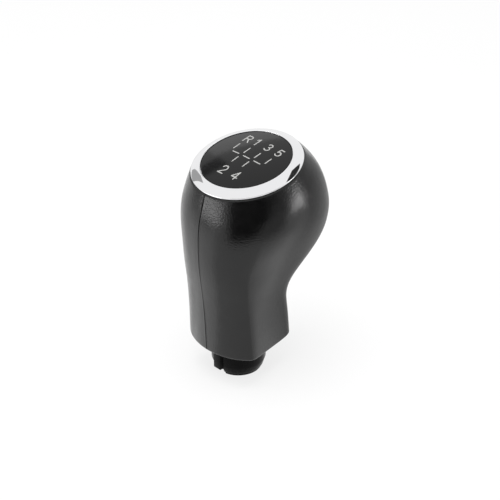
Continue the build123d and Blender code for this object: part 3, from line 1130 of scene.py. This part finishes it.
class KNOB_OT_stage(bpy.types.Operator):
    """Set the floor, the lamps, the cards for the reflections and the camera"""

    bl_idname = "knob.stage"
    bl_label = "Stage"

    # Lengths here are in metres, and a turn is in degrees from the camera's side to the right
    FLOOR_RADIUS = 4.0
    FLOOR_SEGMENTS = 96
    LIT_POINT = Vector((0, 0, 0.03))

    # Lamps: name, place as turn, distance and height, width, height, watts, and whether reflections show it
    LAMPS = (
        ("overhead_softbox", (-48, 0.05, 0.763), 0.6, 0.6, 6.0, False),
        ("left_softbox", (-70, 0.3, 0.075), 0.2, 0.062, 0.15, True),
        ("right_softbox", (84, 0.27, 0.033), 0.08, 0.052, 0.075, True),
    )

    # Dark card by the camera: grey, and its corners as turn, distance and height
    CAMERA_SIDE_GREY = 0.03
    CAMERA_SIDE = ((-36, 0.19, 0), (-3, 0.179, 0), (50, 0.4, 0.152), (-36, 0.19, 0.152))

    # Upright cards: name, grey, left and right end as turn and distance, lower and upper height
    UPRIGHT_CARDS = (
        ("right_wall", 0.42, (20, 0.5), (64, 0.5), 0.0, 0.25),
        ("left_wall", 0.6, (-140, 0.5), (-97, 0.5), 0.0, 0.14),
        ("front_wall", 0.5, (98, 0.5), (156, 0.5), 0.0, 0.16),
        ("left_gap", 0.4, (-141, 0.45), (-123, 0.45), 0.16, 0.44),
        ("right_gap", 0.03, (80, 0.4), (132, 0.4), 0.45, 0.78),
        ("window", 1.7, (-180, 0.5), (-160, 0.5), 0.33, 0.44),
        ("window_frame", 0.3, (-160, 0.5), (-147, 0.5), 0.46, 0.54),
    )

    # Floor cards: name, grey, near left and right corner as turn and distance, distance of the far edge
    FLOOR_CARDS = (
        ("right_shade", 0.5, (-8, 0.25), (64, 0.15), 0.5),
        ("left_bounce", 1.5, (-112, 0.02), (-58, 0.02), 0.3),
        ("right_bounce", 1.33, (30, 0.02), (86, 0.02), 0.11),
        ("front_shade", 0.58, (96, 0.03), (156, 0.03), 0.5),
    )
    FLOOR_CARD_LIFT = 0.001

    def side(self, stage, turned=0.0):
        """Level direction from the knob at a turn from the camera's side."""
        angle = stage.azimuth + math.radians(turned)
        return Vector((math.sin(angle), -math.cos(angle), 0))

    def place(self, stage, turned, distance, height):
        """Place at a turn from the camera's side, at a distance and a height over the floor."""
        return self.side(stage, turned) * distance + Vector((0, 0, cad_low.z + height))

    def floor(self, stage):
        """Pale floor that keeps the knob's shadow."""
        shape = bmesh.new()
        bmesh.ops.create_circle(shape, cap_ends=True, segments=self.FLOOR_SEGMENTS, radius=self.FLOOR_RADIUS)
        mesh = written(shape, bpy.data.meshes.new("draft"))
        mesh.transform(Matrix.Translation((0, 0, cad_low.z)))
        new_piece("floor", mesh, floor_finish(stage))

    def world(self, scene, stage):
        """White surroundings to the eye and in reflections, softer as light."""
        scene.world = bpy.data.worlds.new("surroundings")
        scene.world.use_nodes = True
        tree = Nodes(scene.world.node_tree)
        tree.nodes.clear()
        strength = {"Value": seen_rays(tree), "To Min": stage.surround, "To Max": 1.0}
        level = tree.out("ShaderNodeMapRange", strength)
        light = tree.out("ShaderNodeBackground", {"Color": WHITE, "Strength": level})
        tree.add("ShaderNodeOutputWorld", {"Surface": light})

    def lamp(self, stage, name, place, width, height, watts, shown):
        """Soft lamp that points at the knob."""
        data = bpy.data.lights.new(name, "AREA")
        data.shape = "RECTANGLE"
        data.size = width
        data.size_y = height
        data.energy = watts
        lamp = bpy.data.objects.new(name, data)
        lamp.location = self.place(stage, *place)
        lamp.rotation_mode = "QUATERNION"
        lamp.rotation_quaternion = (lamp.location - self.LIT_POINT).to_track_quat("Z", "Y")
        lamp.visible_glossy = shown
        bpy.context.scene.collection.objects.link(lamp)

    def card(self, stage, name, grey, corners):
        """Four-cornered card that only reflections show, its corners as turn, distance and height."""
        mesh = mesh_from([self.place(stage, *corner) for corner in corners], [(0, 1, 2, 3)])
        glow = {"Color": (grey, grey, grey, 1), "Strength": 1.0}
        piece = new_piece(name, mesh, Finish(name + "_card").surface("ShaderNodeEmission", glow))
        piece.visible_camera = False
        piece.visible_diffuse = False
        piece.visible_shadow = False

    def light(self, stage):
        """Lamps that light the knob, and cards that shape its reflections."""
        for lamp in self.LAMPS:
            self.lamp(stage, *lamp)
        self.card(stage, "camera_side", self.CAMERA_SIDE_GREY, self.CAMERA_SIDE)
        for name, grey, left, right, low, high in self.UPRIGHT_CARDS:
            self.card(stage, name, grey, ((*left, low), (*right, low), (*right, high), (*left, high)))
        for name, grey, left, right, far in self.FLOOR_CARDS:
            corners = left, right, (right[0], far), (left[0], far)
            self.card(stage, name, grey, [(*corner, self.FLOOR_CARD_LIFT) for corner in corners])

    def camera(self, scene, stage):
        """Camera at the height and angle of the view, a little rolled."""
        data = bpy.data.cameras.new("view")
        data.sensor_width = stage.sensor
        data.lens = stage.lens
        view = bpy.data.objects.new("view", data)
        back = self.side(stage) * math.cos(stage.elevation) + Vector((0, 0, math.sin(stage.elevation)))
        right = self.side(stage, turned=90)
        axes = Matrix((right, back.cross(right), back)).transposed()
        rolled = Matrix.Rotation(stage.roll, 3, back) @ axes
        view.matrix_world = Matrix.Translation(stage.aim + back * stage.distance) @ rolled.to_4x4()
        scene.collection.objects.link(view)
        scene.camera = view

    def execute(self, context):
        scene = context.scene
        stage = scene.knob_stage
        scene.view_settings.view_transform = "Standard"
        self.floor(stage)
        self.world(scene, stage)
        self.light(stage)
        self.camera(scene, stage)
        return {"FINISHED"}


class KNOB_PT_sidebar(bpy.types.Panel):
    """Pieces of the knob and their sizes"""

    bl_idname = "KNOB_PT_sidebar"
    bl_label = "Gear Shift Knob"
    bl_space_type = "VIEW_3D"
    bl_region_type = "UI"
    bl_category = "Knob"

    def draw(self, context):
        for operator, group, settings_class in PIECES:
            box = self.layout.box()
            box.operator(operator.bl_idname)
            for name in settings_class.__annotations__:
                box.prop(getattr(context.scene, group), name)


# Each operator with the scene's group of settings for it
PIECES = (
    (KNOB_OT_grip, "knob_grip", KnobGripProperties),
    (KNOB_OT_ring, "knob_ring", KnobRingProperties),
    (KNOB_OT_plate, "knob_plate", KnobPlateProperties),
    (KNOB_OT_marks, "knob_marks", KnobMarkProperties),
    (KNOB_OT_mouldings, "knob_moulding", KnobMouldingProperties),
    (KNOB_OT_stage, "knob_stage", KnobStageProperties),
)
CLASSES = [settings_class for operator, group, settings_class in PIECES]
CLASSES += [operator for operator, group, settings_class in PIECES]
CLASSES += [KNOB_PT_sidebar]


def register():
    for one in CLASSES:
        bpy.utils.register_class(one)
    for operator, group, settings_class in PIECES:
        setattr(bpy.types.Scene, group, PointerProperty(type=settings_class))


def unregister():
    for operator, group, settings_class in PIECES:
        delattr(bpy.types.Scene, group)
    for one in reversed(CLASSES):
        bpy.utils.unregister_class(one)


def main():
    """Builds every piece in order."""
    register()
    bpy.ops.knob.grip()
    bpy.ops.knob.ring()
    bpy.ops.knob.plate()
    bpy.ops.knob.marks()
    bpy.ops.knob.mouldings()
    bpy.ops.knob.stage()


if __name__ == "__main__":
    main()
